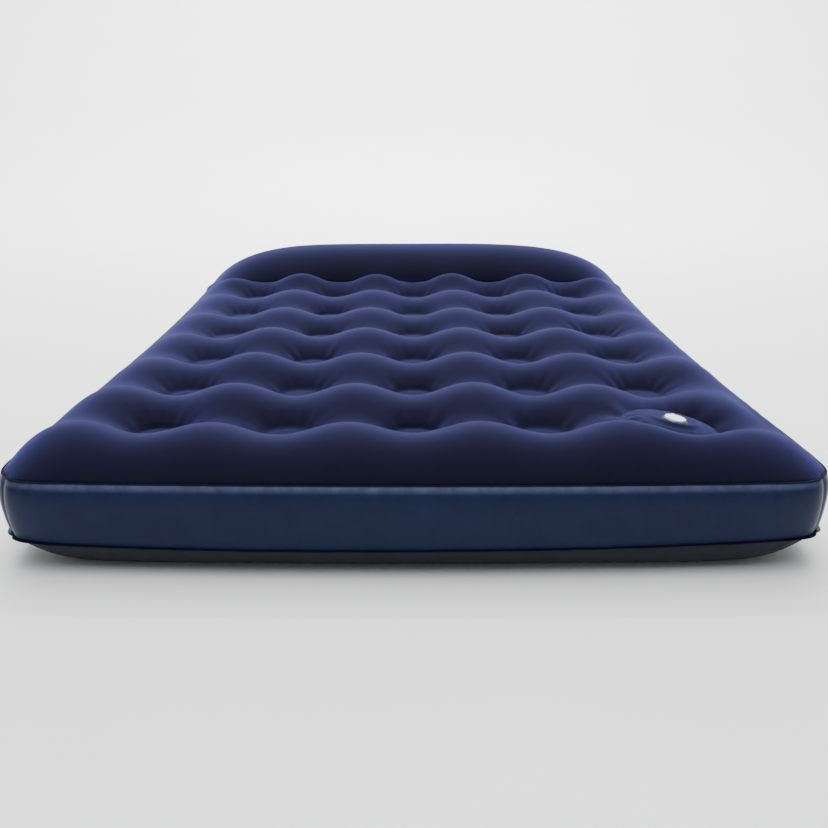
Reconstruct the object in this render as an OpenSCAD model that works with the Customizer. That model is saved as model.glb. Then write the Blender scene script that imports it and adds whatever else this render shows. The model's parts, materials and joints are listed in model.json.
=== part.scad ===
// Flocked double air mattress with a raised head pillow, coil ties inside, a built-in foot pump
// and a screw valve. Millimetres. +Z is up, +Y is the head end, and the origin is on the floor
// at the middle of the overall box.

/* [Mattress] */
// Overall width over the bulged side walls
bed_width = 1370; // [1200:10:1600]
// Overall length over the bulged end walls
bed_length = 1910; // [1850:10:2050]
// Overall height, which is the crest of the pillow
pillow_height = 286; // [265:1:300]
// Height of the sleeping surface between the coils
crest_height = 225; // [215:1:240]
// Height of the weld between the flocked top and the side wall
top_seam_height = 163; // [150:1:180]
// Height of the weld between the side wall and the bottom sheet, along the sides
bottom_seam_height = 51; // [40:1:60]
// How far the bottom weld lifts at the four corners
corner_lift = 16; // [0:1:25]
// How far the side walls bulge beyond the two welds
wall_bulge = 14; // [6:1:20]
// How far the long sides pull in between the corners
side_pull = 29; // [0:1:40]
// How much narrower each side is at the head, where the pillow takes up the sheet
head_pull = 34; // [0:1:40]
// How far the foot and head ends bow out between the corners
end_bow = 16; // [0:1:25]
// How far a corner is cut back from a square one, along each side
corner_inset = 30; // [15:1:40]

/* [Sheets] */
// Thickness of the flocked top sheet
flocked_thickness = 0.7; // [0.5:0.1:1.5]
// Thickness of the plain PVC sheets
sheet_thickness = 0.5; // [0.4:0.1:1]
// Width of the welded flange that stands out along a seam
flange_width = 5; // [3:0.5:8]
// Thickness of that flange, two sheets and the flattened weld
flange_thickness = 1.2; // [0.8:0.1:2]

/* [Coils] */
// Coils across the bed
coil_columns = 5; // [5:1:5]
// Coils along the bed, counted from the foot
coil_rows = 6; // [6:1:6]
// Distance between coils across the bed
column_pitch = 226; // [216:1:236]
// Distance between coils along the bed
row_pitch = 245.5; // [238:0.5:252]
// Distance from the foot end to the first row of coils
foot_margin = 241.5; // [230:0.5:250]
// Radius of the disc where a coil is welded to a sheet
disc_radius = 47; // [40:1:52]
// Radius of a coil's tube
coil_radius = 40; // [30:1:44]
// Height of the top weld discs above the floor
top_disc_height = 165; // [155:1:180]
// Height of the bottom weld discs above the floor
bottom_disc_height = 46; // [40:1:60]
// Width of the slope around a weld disc
dimple_slope = 66; // [50:1:66]

/* [Pillow] */
// Distance from the head end to the weld in front of the pillow
pillow_depth = 316; // [305:1:325]
// Height of that weld
pillow_seam_height = 196; // [186:1:206]

/* [Foot pump] */
// Place of the pump's centre across the bed
pump_x = 455; // [448:1:462]
// Place of the pump's centre, measured from the foot end
pump_from_foot = 234; // [224:1:240]
// Height of the pump's rim at its centre
pump_height = 181; // [176:1:188]
// How far the pump tilts down towards the side of the bed, in degrees
pump_tilt = 10; // [0:1:14]
// Outer radius of the welded rim
pump_radius = 89; // [85:1:92]
// Rise of the padded cover above the rim
cover_rise = 17; // [15:1:20]
// Radius of the stiff middle of the cover, under the foot
pad_radius = 62; // [55:1:65]
// Depth of the pump chamber under the rim
chamber_depth = 68; // [62:1:75]

/* [Screw valve] */
// Place of the valve across the head wall
valve_x = 300; // [0:10:330]
// Radius of the inflation port
port_radius = 9.5; // [9:0.25:10]

/* [Hidden] */
$fn = 64;
gap = 0.3;
seam_half_length = bed_length / 2 - wall_bulge;
corner_power = 20;
seam_half_width = bed_width / 2 - wall_bulge + min([for (v = [-1 : 0.02 : 1]) narrowing(v)]);
edge_power = 12;
pillow_end_power = 5;
pillow_start = bed_length / 2 - pillow_depth;
pump_y = pump_from_foot - bed_length / 2;
pump_column = coil_columns - 1;
pump_row = 0;
chamber_radius = pump_radius - 11;
valve_z = (top_seam_height + bottom_seam_height) / 2;

// How finely the sheets are divided.
top_cells = [34, 40];
pillow_cells = [34, 10];
edge_cells = [24, 30];
wall_levels = [[0, 0], [0.12, 0.75], [0.28, 1], [0.72, 1], [0.88, 0.75], [1, 0]];

coil_nodes = [for (r = [0 : coil_rows - 1], c = [0 : coil_columns - 1])
    if (!is_pump(c, r)) str("coil_row", r + 1, "_col", c + 1)];

flock_blue = [0.16, 0.19, 0.38];
wall_blue = [0.12, 0.18, 0.32];
base_black = [0.13, 0.14, 0.17];
clear_pvc = [0.55, 0.60, 0.70];
white_plastic = [0.90, 0.91, 0.93];
foam_grey = [0.45, 0.46, 0.48];
rubber_black = [0.08, 0.08, 0.09];

// ---- Places on the bed. u runs across the bed and v along it, both from -1 to 1. ----

function is_pump(c, r) = c == pump_column && r == pump_row;
function column_x(c) = (c - (coil_columns - 1) / 2) * column_pitch;
function row_y(r) = foot_margin - bed_length / 2 + r * row_pitch;
function within(value, low, high) = max(low, min(high, value));
function smooth(t) = let (s = within(t, 0, 1)) s * s * (3 - 2 * s);
function corner(u, v) = pow(abs(u), corner_power) * pow(abs(v), corner_power);
function pull(v) = side_pull * pow(1 - v * v, 1.2) + head_pull * (1 + v) / 2;
function narrowing(v) = pull(v) + corner_inset * pow(v, corner_power);
function end_set_in(u, v) = end_bow * u * u * pow(v, 6) + corner_inset * corner(u, v);
function plan_x(u, v) = u * (seam_half_width - pull(v)) - sign(u) * corner_inset * corner(u, v);
function plan_y(u, v) = v * seam_half_length - sign(v) * end_set_in(u, v);
function side_edge(u) = sqrt(max(0, 1 - pow(abs(u), edge_power)));
function end_edge(v) = sqrt(max(0, 1 - pow(abs(v), 1.5 * edge_power)));

// 1 on the weld disc of the nearest coil and 0 midway to the next one.
function dimple(x, y) =
    let (c = within(round(x / column_pitch + (coil_columns - 1) / 2), 0, coil_columns - 1),
         r = within(round((y - row_y(0)) / row_pitch), 0, coil_rows - 1),
         away = norm([x - column_x(c), y - row_y(r)]))
    is_pump(c, r) ? 0 : 1 - smooth((away - disc_radius) / dimple_slope);

// 1 over the pump's rim and 0 clear of it.
function pump_zone(x, y) = 1 - smooth((norm([x - pump_x, y - pump_y]) - pump_radius - 6) / 50);
function pump_plane(x) = pump_height - (x - pump_x) * tan(pump_tilt);

function field_z(u, v) =
    let (x = plan_x(u, v), y = plan_y(u, v), p = pump_zone(x, y),
         crown = top_seam_height + (crest_height - top_seam_height) * side_edge(u) * end_edge(v),
         dimpled = crown + (top_disc_height - crown) * dimple(x, y),
         fall = smooth((pillow_start - y) / 45),
         level = pillow_front_z(u) * (1 - fall) + dimpled * fall)
    level * (1 - p) + pump_plane(x) * p;

function pillow_front_z(u) = top_seam_height + (pillow_seam_height - top_seam_height) * side_edge(u);

function pillow_z(u, v) =
    let (s = (v - pillow_v) / (1 - pillow_v),
         base = pillow_front_z(u) * (1 - s) + top_seam_height * s,
         arch = pow(max(0, 4 * s * (1 - s)), 0.7),
         ends = sqrt(max(0, 1 - pow(abs(u), pillow_end_power))),
         rise = pillow_height - (pillow_seam_height + top_seam_height) / 2)
    base + rise * arch * ends;

pillow_v = pillow_start / seam_half_length;
function bottom_edge_z(u, v) = bottom_seam_height + corner_lift * pow(abs(u), 2.5) * pow(v, 8);
// The bottom sheet starts just under its weld's flange, and lies dead flat on the floor wherever
// its rounded edge, its dimples and the pump's tie allow.
function bottom_z(u, v) =
    let (x = plan_x(u, v), y = plan_y(u, v), d = dimple(x, y),
         start = bottom_edge_z(u, v) - flange_thickness / 2 - gap,
         edge = start * (1 - side_edge(u) * end_edge(v)) * (1 - pump_zone(x, y)),
         z = edge * (1 - d) + bottom_disc_height * d)
    z < 0.05 ? 0 : z;

function top_point(u, v) = [plan_x(u, v), plan_y(u, v), field_z(u, v)];
function pillow_point(u, v) = [plan_x(u, v), plan_y(u, v), pillow_z(u, v)];
function bottom_point(u, v) = [plan_x(u, v), plan_y(u, v), bottom_z(u, v)];

// ---- Sheets: a grid of points on the outside and the same grid set in by the thickness. ----

function unit(p) = p / max(norm(p), 1e-9);
function steps(n, low, high) = [for (i = [0 : n]) low + (high - low) * i / n];

// Steps that crowd a little towards the ends where the sheets turn down: crowded goes from -1
// to 1 and crowds at both, leaning goes from -1 to high and crowds at -1 only.
function crowded(n) = [for (t = steps(n, -1, 1)) 0.6 * t + 0.4 * sin(90 * t)];
function leaning(n, high) = [for (t = steps(n, 0, 1)) -1 + (high + 1) * (0.7 * t + 0.3 * t * t)];

// The outward normal of a sheet, from the points a small step away on each side.
function sheet_normal(kind, u, v, v_low, v_high) =
    let (e = 0.004,
         across = sheet_point(kind, min(1, u + e), v) - sheet_point(kind, max(-1, u - e), v),
         along = sheet_point(kind, u, min(v_high, v + e)) - sheet_point(kind, u, max(v_low, v - e)),
         n = unit(cross(across, along)))
    kind == "bottom" ? -n : n;
function sheet_point(kind, u, v) =
    kind == "top" ? top_point(u, v) : kind == "pillow" ? pillow_point(u, v) : bottom_point(u, v);

// Faces of a closed slab made of two grids with n[0] by n[1] cells. flip turns it inside out.
function slab_faces(n, flip) =
    let (w = n[0] + 1, m = w * (n[1] + 1),
         quads = [for (j = [0 : n[1] - 1], i = [0 : n[0] - 1])
             [j * w + i, j * w + i + 1, (j + 1) * w + i + 1, (j + 1) * w + i]],
         rim = concat([for (i = [0 : n[0] - 1]) i],
                      [for (j = [0 : n[1] - 1]) j * w + n[0]],
                      [for (i = [n[0] : -1 : 1]) n[1] * w + i],
                      [for (j = [n[1] : -1 : 1]) j * w]),
         outer = [for (q = quads) each [[q[0], q[2], q[1]], [q[0], q[3], q[2]]]],
         inner = [for (q = quads) each [[q[0] + m, q[1] + m, q[2] + m], [q[0] + m, q[2] + m, q[3] + m]]],
         sides = [for (k = [0 : len(rim) - 1]) let (a = rim[k], b = rim[(k + 1) % len(rim)])
             each [[a, b, b + m], [a, b + m, a + m]]],
         all = concat(outer, inner, sides))
    flip ? [for (f = all) [f[2], f[1], f[0]]] : all;

// across holds the sheet's u values and along its v values.
module sheet(kind, across, along, thickness) {
    n = [len(across) - 1, len(along) - 1];
    outer = [for (v = along, u = across) sheet_point(kind, u, v)];
    inner = [for (v = along, u = across)
        sheet_point(kind, u, v) - thickness * sheet_normal(kind, u, v, along[0], along[n[1]])];
    polyhedron(points = concat(outer, inner), faces = slab_faces(n, kind == "bottom"));
}

// The seam's outline, as [u, v] points once round the bed, anticlockwise seen from above.
outline = concat(
    [for (u = crowded(edge_cells[0])) if (u < 0.999) [u, -1]],
    [for (v = crowded(edge_cells[1])) if (v < 0.999) [1, v]],
    [for (u = crowded(edge_cells[0])) if (u < 0.999) [-u, 1]],
    [for (v = crowded(edge_cells[1])) if (v < 0.999) [-1, -v]]);
function outline_point(k) = let (q = outline[k % len(outline)]) [plan_x(q[0], q[1]), plan_y(q[0], q[1])];
function outline_out(k) =
    let (n = len(outline), d = unit(outline_point(k + 1) - outline_point(k + n - 1)))
    [d[1], -d[0]];

// A closed ring round the bed. section(k) gives its cross-section at outline point k, as
// [outward, height] pairs.
module ring(sections) {
    n = len(outline);
    m = len(sections[0]);
    points = [for (k = [0 : n - 1], s = sections[k])
        let (p = outline_point(k) + s[0] * outline_out(k)) [p[0], p[1], s[1]]];
    faces = [for (k = [0 : n - 1], i = [0 : m - 1])
        let (next = (k + 1) % n * m, a = k * m + i, b = k * m + (i + 1) % m,
             c = next + (i + 1) % m, d = next + i)
        each [[a, b, c], [a, c, d]]];
    polyhedron(points = points, faces = faces);
}

function wall_section(k) =
    let (q = outline[k], low = bottom_edge_z(q[0], q[1]) + flange_thickness / 2 + gap,
         high = top_seam_height - flange_thickness / 2 - gap,
         out = [for (l = wall_levels) [wall_bulge * l[1], low + (high - low) * l[0]]],
         back = [for (i = [len(out) - 1 : -1 : 0]) [out[i][0] - sheet_thickness, out[i][1]]])
    concat(out, back);
function flange_section(height) =
    [[flange_width, height - flange_thickness / 2], [flange_width, height + flange_thickness / 2],
     [-2, height + flange_thickness / 2], [-2, height - flange_thickness / 2]];

// ---- The air chamber ----

module top_sheet() {
    color(flock_blue)
    difference() {
        translate([0, 0, flange_thickness / 2 + gap])
            sheet("top", crowded(top_cells[0]), leaning(top_cells[1], pillow_v - gap / seam_half_length),
                  flocked_thickness);
        pump_frame() cylinder(r = pump_radius - 4, h = 60, center = true);
    }
}

module pillow_panel() {
    color(flock_blue)
    translate([0, 0, flange_thickness / 2 + gap])
        sheet("pillow", crowded(pillow_cells[0]),
              steps(pillow_cells[1], pillow_v + gap / seam_half_length, 1), flocked_thickness);
}

module side_wall() {
    color(wall_blue)
    difference() {
        ring([for (k = [0 : len(outline) - 1]) wall_section(k)]);
        valve_frame() cylinder(r = 21.5, h = 30, center = true);
    }
}

module bottom_sheet() {
    color(base_black) sheet("bottom", crowded(edge_cells[0]), crowded(edge_cells[1]), sheet_thickness);
}

module top_seam() {
    color(base_black) ring([for (k = [0 : len(outline) - 1]) flange_section(top_seam_height)]);
}

module bottom_seam() {
    color(base_black)
    ring([for (k = [0 : len(outline) - 1]) flange_section(bottom_edge_z(outline[k][0], outline[k][1]))]);
}

// How far the weld in front of the pillow lies under the valley's floor, clear of its slopes.
valley_drop = 1.5;

// Where the valley's floor is sampled: at the sheets' own steps, out to u_end on each side.
function valley_steps(u_end) = [for (u = crowded(top_cells[0])) if (abs(u) < u_end) u];

// The strip that welds the pillow's panel to the sleeping surface, just under the valley's floor.
module pillow_seam() {
    across = valley_steps(0.99);
    n = len(across) - 1;
    half = 4;
    points = [for (u = across, s = [[-half, 0], [half, 0], [half, 1], [-half, 1]])
        [plan_x(u, pillow_v), plan_y(u, pillow_v) + s[0],
         pillow_front_z(u) - valley_drop - (1 - s[1]) * flange_thickness]];
    walls = [for (k = [0 : n - 1], i = [0 : 3])
        let (a = 4 * k + i, b = 4 * k + (i + 1) % 4)
        each [[a, b, b + 4], [a, b + 4, a + 4]]];
    ends = [[3, 2, 1, 0], [4 * n, 4 * n + 1, 4 * n + 2, 4 * n + 3]];
    color(base_black) polyhedron(points = points, faces = concat(walls, ends));
}

// The upright web under that strip, which ties the valley to the bottom sheet. It stands clear of
// the slopes round the nearest bottom welds. Air passes through its round holes.
module pillow_beam() {
    foot_z = sheet_thickness + 3;
    drop = valley_drop + flange_thickness + gap;
    head = [for (u = valley_steps(0.9)) [plan_x(u, pillow_v), pillow_front_z(u) - drop]];
    foot = [for (side = [1, -1]) [side * column_pitch * 1.5, foot_z]];
    color(clear_pvc)
    translate([0, plan_y(0.5, pillow_v) + sheet_thickness / 2, 0])
    rotate([90, 0, 0])
    linear_extrude(sheet_thickness)
    difference() {
        polygon(concat(head, foot));
        for (c = [0 : coil_columns - 2])
            translate([column_x(c + 0.5), pillow_seam_height / 2]) circle(r = 22);
    }
}

// ---- Coils: a tube with a weld flange at each end ----

module coil(c, r) {
    low = bottom_disc_height + sheet_thickness + 2 * gap;
    high = top_disc_height - gap;
    color(clear_pvc)
    translate([column_x(c), row_y(r), 0])
    difference() {
        rotate_extrude()
        polygon([
            [coil_radius - sheet_thickness, low], [disc_radius - 1, low],
            [disc_radius - 1, low + sheet_thickness], [coil_radius, low + sheet_thickness],
            [coil_radius, high - sheet_thickness], [disc_radius - 1, high - sheet_thickness],
            [disc_radius - 1, high], [coil_radius - sheet_thickness, high]]);
        translate([0, 0, (low + high) / 2])
            rotate([90, 0, 0]) cylinder(r = 8, h = 2 * disc_radius, center = true);
    }
}

// ---- Foot pump, in its own frame: the origin is at the rim's centre and +Z leaves the bed ----

pad_edge_z = 11;
pad_under_z = 7;
seat_radius = 28;
throat_radius = 12;
throat_wall = 2.5;
throat_drop = 14;
rim_low = -gap - flange_thickness;
floor_z = -chamber_depth;
foam_hole = throat_radius + throat_wall + 3;
outlet_radius = 8;
outlet_drop = 8;
flap_thickness = 0.8;

module pump_frame() {
    translate([pump_x, pump_y, pump_height]) rotate([0, pump_tilt, 0]) children();
}
module intake_frame() {
    pump_frame() translate([0, 0, cover_rise]) rotate([0, 0, -90]) children();
}

module pump_rim() {
    color(base_black) pump_frame() rotate_extrude()
    polygon([[chamber_radius + 0.6, rim_low], [pump_radius + 2, rim_low],
             [pump_radius + 2, -gap], [chamber_radius + 0.6, -gap]]);
}

module pump_cover() {
    hole = throat_radius + throat_wall + gap;
    dome = [for (t = steps(8, 0, 90))
        [seat_radius + (pad_radius - seat_radius) * cos(t),
         pad_edge_z + (cover_rise - pad_edge_z) * sin(t)]];
    color(flock_blue) pump_frame() rotate_extrude()
    polygon(concat([[hole, pad_under_z], [pad_radius, pad_under_z]], dome, [[hole, cover_rise]]));
}

module pump_skirt() {
    inside = pad_radius + gap;
    outside = chamber_radius + 0.3;
    color(flock_blue) pump_frame() rotate_extrude()
    polygon([[inside, pad_under_z + 1], [outside, rim_low], [outside, -gap], [inside, pad_edge_z - 1]]);
}

module pump_foam() {
    color(foam_grey) pump_frame() translate([0, 0, floor_z + gap])
    difference() {
        cylinder(r = pad_radius - 2, h = chamber_depth + pad_under_z - 2 * gap);
        translate([0, 0, -1]) cylinder(r = foam_hole, h = chamber_depth + pad_under_z + 2);
    }
}

module pump_chamber() {
    base_radius = pad_radius + 4;
    wall = 1;
    color(clear_pvc) pump_frame() rotate_extrude()
    polygon([
        [outlet_radius + throat_wall + gap, floor_z - wall], [base_radius, floor_z - wall],
        [chamber_radius, floor_z + 12], [chamber_radius, rim_low - gap - wall],
        [pump_radius, rim_low - gap - wall], [pump_radius, rim_low - gap],
        [chamber_radius - wall, rim_low - gap], [chamber_radius - wall, floor_z + 12],
        [base_radius - wall, floor_z], [outlet_radius + throat_wall + gap, floor_z]]);
}

// The tube between the pump's chamber and the bottom sheet, cut level where it meets the sheet.
module pump_tie() {
    tube = coil_radius - 4;
    top = floor_z - 1 - gap;
    tall = 1.5 * pump_height;
    color(clear_pvc)
    difference() {
        pump_frame() rotate_extrude()
        polygon([
            [tube - sheet_thickness, top - tall], [tube, top - tall], [tube, top - sheet_thickness],
            [disc_radius, top - sheet_thickness], [disc_radius, top], [tube - sheet_thickness, top]]);
        translate([pump_x, pump_y, sheet_thickness + gap - tall / 2])
            cube([3 * pump_radius, 3 * pump_radius, tall], center = true);
        pump_frame() translate([0, 0, top - 50])
            rotate([90, 0, 0]) cylinder(r = 12, h = 3 * tube, center = true);
    }
}

// ---- Caps, hinges and flaps, shared by the pump's intake and the screw valve. Each hinge's
// pin lies along Y, at x = -hinge. ----

pin_radius = 1;
eye_radius = 1.7;
eye_width = 5;
ear_width = 2;

// A cap that snaps over the outside of a spout: spout is the spout's outer radius, cap the
// cap's own, skirt, plate and top its heights.
module snap_cap(spout, cap, skirt, plate, top, hinge, pin_z) {
    difference() {
        union() {
            rotate_extrude()
            polygon([[spout + gap, skirt], [cap, skirt], [cap, top - 0.6], [cap - 0.6, top],
                     [0, top], [0, plate], [spout + gap, plate]]);
            translate([-hinge, -eye_width / 2, plate]) cube([hinge - cap + 1, eye_width, top - plate]);
            translate([-hinge, 0, pin_z])
                rotate([90, 0, 0]) cylinder(r = eye_radius, h = eye_width, center = true);
            translate([cap - 1, -3, plate]) cube([3, 6, top - plate]);
        }
        translate([-hinge, 0, pin_z])
            rotate([90, 0, 0]) cylinder(r = pin_radius + 0.15, h = 2 * eye_width, center = true);
    }
}

// The two ears that carry the pin, standing on a plate whose top is at base.
module hinge_ears(hinge, pin_z, base) {
    for (side = [-1, 1])
        translate([-hinge, side * (eye_width / 2 + gap + ear_width / 2), 0])
        difference() {
            union() {
                translate([-eye_radius, -ear_width / 2, base - 1])
                    cube([2 * eye_radius, ear_width, pin_z - base + 1]);
                translate([0, 0, pin_z])
                    rotate([90, 0, 0]) cylinder(r = eye_radius, h = ear_width, center = true);
            }
            translate([0, 0, pin_z])
                rotate([90, 0, 0]) cylinder(r = pin_radius + 0.05, h = 2 * ear_width, center = true);
        }
}

module hinge_pin(hinge, pin_z) {
    translate([-hinge, 0, pin_z])
        rotate([90, 0, 0]) cylinder(r = pin_radius, h = eye_width + 2 * gap + 2 * ear_width, center = true);
}

// A one-way flap: a soft disc under a tube's lower end, with a tab towards its hinge.
module flap(radius, z) {
    translate([0, 0, z - flap_thickness]) {
        cylinder(r = radius, h = flap_thickness);
        translate([-radius - 1, -3, 0]) cube([6, 6, flap_thickness]);
    }
}

// ---- Intake, in the middle of the pump's cover ----

intake_flange = 24;
intake_flange_z = 2;
intake_spout_z = 3.5;
intake_cap_r = 18.5;
intake_hinge = 21.8;
intake_pin_z = 4;

module intake_body() {
    spout = throat_radius + throat_wall;
    color(base_black) intake_frame() {
        rotate_extrude()
        polygon([[throat_radius, -throat_drop], [spout, -throat_drop], [spout, 0.2], [intake_flange, 0.2],
                 [intake_flange, intake_flange_z - 0.5], [intake_flange - 0.5, intake_flange_z],
                 [spout, intake_flange_z], [spout, intake_spout_z], [throat_radius, intake_spout_z]]);
        hinge_ears(intake_hinge, intake_pin_z, intake_flange_z);
    }
}
module intake_cap() {
    color(white_plastic) intake_frame()
        snap_cap(throat_radius + throat_wall, intake_cap_r, intake_flange_z + gap, intake_spout_z + 0.5, 6,
                 intake_hinge, intake_pin_z);
}
module intake_pin() {
    color(white_plastic) intake_frame() hinge_pin(intake_hinge, intake_pin_z);
}
module intake_flap() {
    color(clear_pvc) intake_frame() flap(throat_radius + 1.5, -throat_drop - gap);
}

module outlet_body() {
    spout = outlet_radius + throat_wall;
    color(white_plastic) pump_frame() rotate_extrude()
    polygon([[outlet_radius, floor_z - outlet_drop], [spout, floor_z - outlet_drop], [spout, floor_z + 0.2],
             [spout + 5, floor_z + 0.2], [spout + 5, floor_z + 1.8], [outlet_radius, floor_z + 1.8]]);
}
module outlet_flap() {
    color(clear_pvc) pump_frame() flap(outlet_radius + 1.5, floor_z - outlet_drop - gap);
}

// ---- Screw valve in the head wall. +Z leaves the bed and z = 0 is the wall's outer face. ----

seat_radius_in = port_radius + 7;
seat_radius_out = seat_radius_in + 2.5;
seat_low = -20;
seat_top = 1;
knob_low = seat_top + 1.8;
stopper_top = knob_low + 2.6;
spout_out = port_radius + 2.5;
spout_low = -12;
spout_top = stopper_top + 2;
knob_radius = seat_radius_out + 1;
valve_cap_r = spout_out + 2;
valve_hinge = valve_cap_r + 3;
valve_pin_z = spout_top + 0.2;

module valve_frame() {
    translate([valve_x, seam_half_length + wall_bulge, valve_z]) rotate([-90, 0, 0]) children();
}

module valve_flange() {
    high = -sheet_thickness - gap;
    color(wall_blue) valve_frame() rotate_extrude()
    polygon([[seat_radius_out + 0.1, -2.2], [seat_radius_out + 6, -2.2],
             [seat_radius_out + 6, high], [seat_radius_out + 0.1, high]]);
}

module valve_seat() {
    color(wall_blue) valve_frame() rotate_extrude()
    polygon([[seat_radius_in, seat_low], [seat_radius_out, seat_low],
             [seat_radius_out, seat_top], [seat_radius_in, seat_top]]);
}

module valve_stopper() {
    thread = seat_radius_in - gap;
    color(wall_blue) valve_frame()
    union() {
        difference() {
            rotate_extrude()
            polygon([
                [port_radius, spout_low], [spout_out, spout_low], [spout_out, knob_low],
                [thread - 1.8, knob_low], [thread - 1.8, spout_low], [thread, spout_low],
                [thread, knob_low], [knob_radius, knob_low], [knob_radius, stopper_top],
                [spout_out, stopper_top], [spout_out, spout_top], [port_radius, spout_top]]);
            for (turn = [0 : 30 : 330])
                rotate([0, 0, turn]) translate([knob_radius + 0.8, 0, 0]) cylinder(r = 1.6, h = 10);
        }
        hinge_ears(valve_hinge, valve_pin_z, stopper_top);
    }
}

// A flat washer under the stopper's knob, round the thread.
module valve_gasket() {
    color(rubber_black) valve_frame() translate([0, 0, seat_top + gap])
    difference() {
        cylinder(r = seat_radius_out - 0.2, h = knob_low - seat_top - 2 * gap);
        translate([0, 0, -1]) cylinder(r = seat_radius_in - gap + 0.2, h = 5);
    }
}

module valve_diaphragm() {
    color(clear_pvc) valve_frame() flap(port_radius + 1.2, spout_low - gap);
}

module valve_cap() {
    color(wall_blue) valve_frame()
        snap_cap(spout_out, valve_cap_r, stopper_top + 0.8, spout_top + 0.7, spout_top + 2.5,
                 valve_hinge, valve_pin_z);
}

module valve_pin() {
    color(wall_blue) valve_frame() hinge_pin(valve_hinge, valve_pin_z);
}

// The retaining ring round the stopper, with a strap that lies against the wall.
module valve_tether() {
    inside = knob_radius + gap;
    color(wall_blue) valve_frame()
    difference() {
        union() {
            translate([0, 0, seat_top + 0.4]) cylinder(r = inside + 1.6, h = 1.6);
            translate([0, -3, seat_top + 0.4]) cube([42, 6, 1.2]);
            translate([42, 0, seat_top + 0.4]) cylinder(r = 6, h = 1.2);
        }
        cylinder(r = inside, h = 10);
    }
}

// ---- Everything, one node at a time ----

top_sheet();
pillow_panel();
side_wall();
bottom_sheet();
top_seam();
bottom_seam();
pillow_seam();
pillow_beam();
for (r = [0 : coil_rows - 1], c = [0 : coil_columns - 1])
    if (!is_pump(c, r))
        coil(c, r);
pump_rim();
pump_cover();
pump_skirt();
pump_foam();
pump_chamber();
pump_tie();
intake_body();
intake_cap();
intake_pin();
intake_flap();
outlet_body();
outlet_flap();
valve_flange();
valve_seat();
valve_stopper();
valve_gasket();
valve_diaphragm();
valve_cap();
valve_pin();
valve_tether();
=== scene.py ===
"""A flocked double air bed: the looks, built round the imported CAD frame. Metres, +Z up, +Y to the head."""
import json
import math

import bpy
import numpy as np
from mathutils import Matrix, Vector


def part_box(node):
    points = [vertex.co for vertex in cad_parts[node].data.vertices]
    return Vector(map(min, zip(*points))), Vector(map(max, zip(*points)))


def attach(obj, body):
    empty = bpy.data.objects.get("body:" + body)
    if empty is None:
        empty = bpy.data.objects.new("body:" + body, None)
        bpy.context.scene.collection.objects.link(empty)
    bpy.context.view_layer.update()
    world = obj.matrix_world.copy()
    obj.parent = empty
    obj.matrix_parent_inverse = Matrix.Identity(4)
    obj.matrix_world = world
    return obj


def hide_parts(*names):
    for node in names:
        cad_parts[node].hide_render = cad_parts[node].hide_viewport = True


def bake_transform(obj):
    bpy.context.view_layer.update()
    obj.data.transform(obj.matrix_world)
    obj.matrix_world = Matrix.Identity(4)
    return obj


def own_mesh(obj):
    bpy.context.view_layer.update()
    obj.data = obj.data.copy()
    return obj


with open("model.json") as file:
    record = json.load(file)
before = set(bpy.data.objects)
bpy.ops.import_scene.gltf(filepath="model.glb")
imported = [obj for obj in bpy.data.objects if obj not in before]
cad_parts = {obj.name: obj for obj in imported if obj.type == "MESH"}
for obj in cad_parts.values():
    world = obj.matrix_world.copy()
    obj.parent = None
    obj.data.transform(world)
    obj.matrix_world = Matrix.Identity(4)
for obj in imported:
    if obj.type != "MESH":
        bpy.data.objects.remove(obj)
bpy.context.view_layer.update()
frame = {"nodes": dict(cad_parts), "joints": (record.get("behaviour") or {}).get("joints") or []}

# ---------------------------------------------------------------- sizes, all in metres

WALL_BULGE = 0.014
SIDE_PULL = 0.029
HEAD_PULL = 0.034
END_BOW = 0.016
CORNER_INSET = 0.030
CORNER_POWER = 20
SHEET = 0.0007
FILM_SHARE = 0.7  # plain film, as a share of the flocked sheet's thickness
WELD_HALF = 0.0006  # half the thickness of a welded flange
DISC_RISE = 0.0012  # from a coil's end to the outside of the sheet on it
WELD_RADIUS = 0.049
WELD_LINE = 0.041  # radius of the line pressed inside each coil's weld
VALVE_HOLE = 0.0188
INTAKE_HOLE = 0.0235
SAG_Y = -0.585  # where the right flank sags, beside the pump
SAG_REACH = 0.11


def middle(low_high):
    low, high = low_high
    return (low + high) / 2


def joint(name):
    return next(j for j in frame["joints"] if j["name"] == name)


wall_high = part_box("side_wall")[1]
HALF_LENGTH = wall_high.y - WALL_BULGE
TOP_SEAM_Z = middle(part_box("top_seam")).z
BOTTOM_SEAM_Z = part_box("bottom_seam")[0].z + WELD_HALF
CORNER_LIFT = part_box("bottom_seam")[1].z - WELD_HALF - BOTTOM_SEAM_Z
PILLOW_Y = middle(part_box("pillow_seam")).y
PILLOW_SEAM_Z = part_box("pillow_seam")[1].z + 0.0015
coil_names = sorted(n for n in frame["nodes"] if n.startswith("coil_row"))
coils = [middle(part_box(n)) for n in coil_names]
TOP_DISC_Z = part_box(coil_names[0])[1].z + DISC_RISE
BOTTOM_DISC_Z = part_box(coil_names[0])[0].z - DISC_RISE
pump_axis = -Vector(joint("pump_press")["axis"])
PUMP_TILT = math.atan2(pump_axis.x, pump_axis.z)
rim_middle = middle(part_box("pump_rim"))
PUMP_RADIUS = (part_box("pump_rim")[1].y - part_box("pump_rim")[0].y) / 2 - 0.004
pump_centre = rim_middle + pump_axis * 0.0009
valve_middle = middle(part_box("valve_seat"))


def pull(v):
    return SIDE_PULL * np.power(np.clip(1 - v * v, 0, None), 1.2) + HEAD_PULL * (1 + v) / 2


stations = np.linspace(-1, 1, 401)
narrowing = pull(stations) + CORNER_INSET * np.abs(stations) ** CORNER_POWER
HALF_WIDTH = wall_high.x - WALL_BULGE + float(np.min(narrowing))


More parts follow.
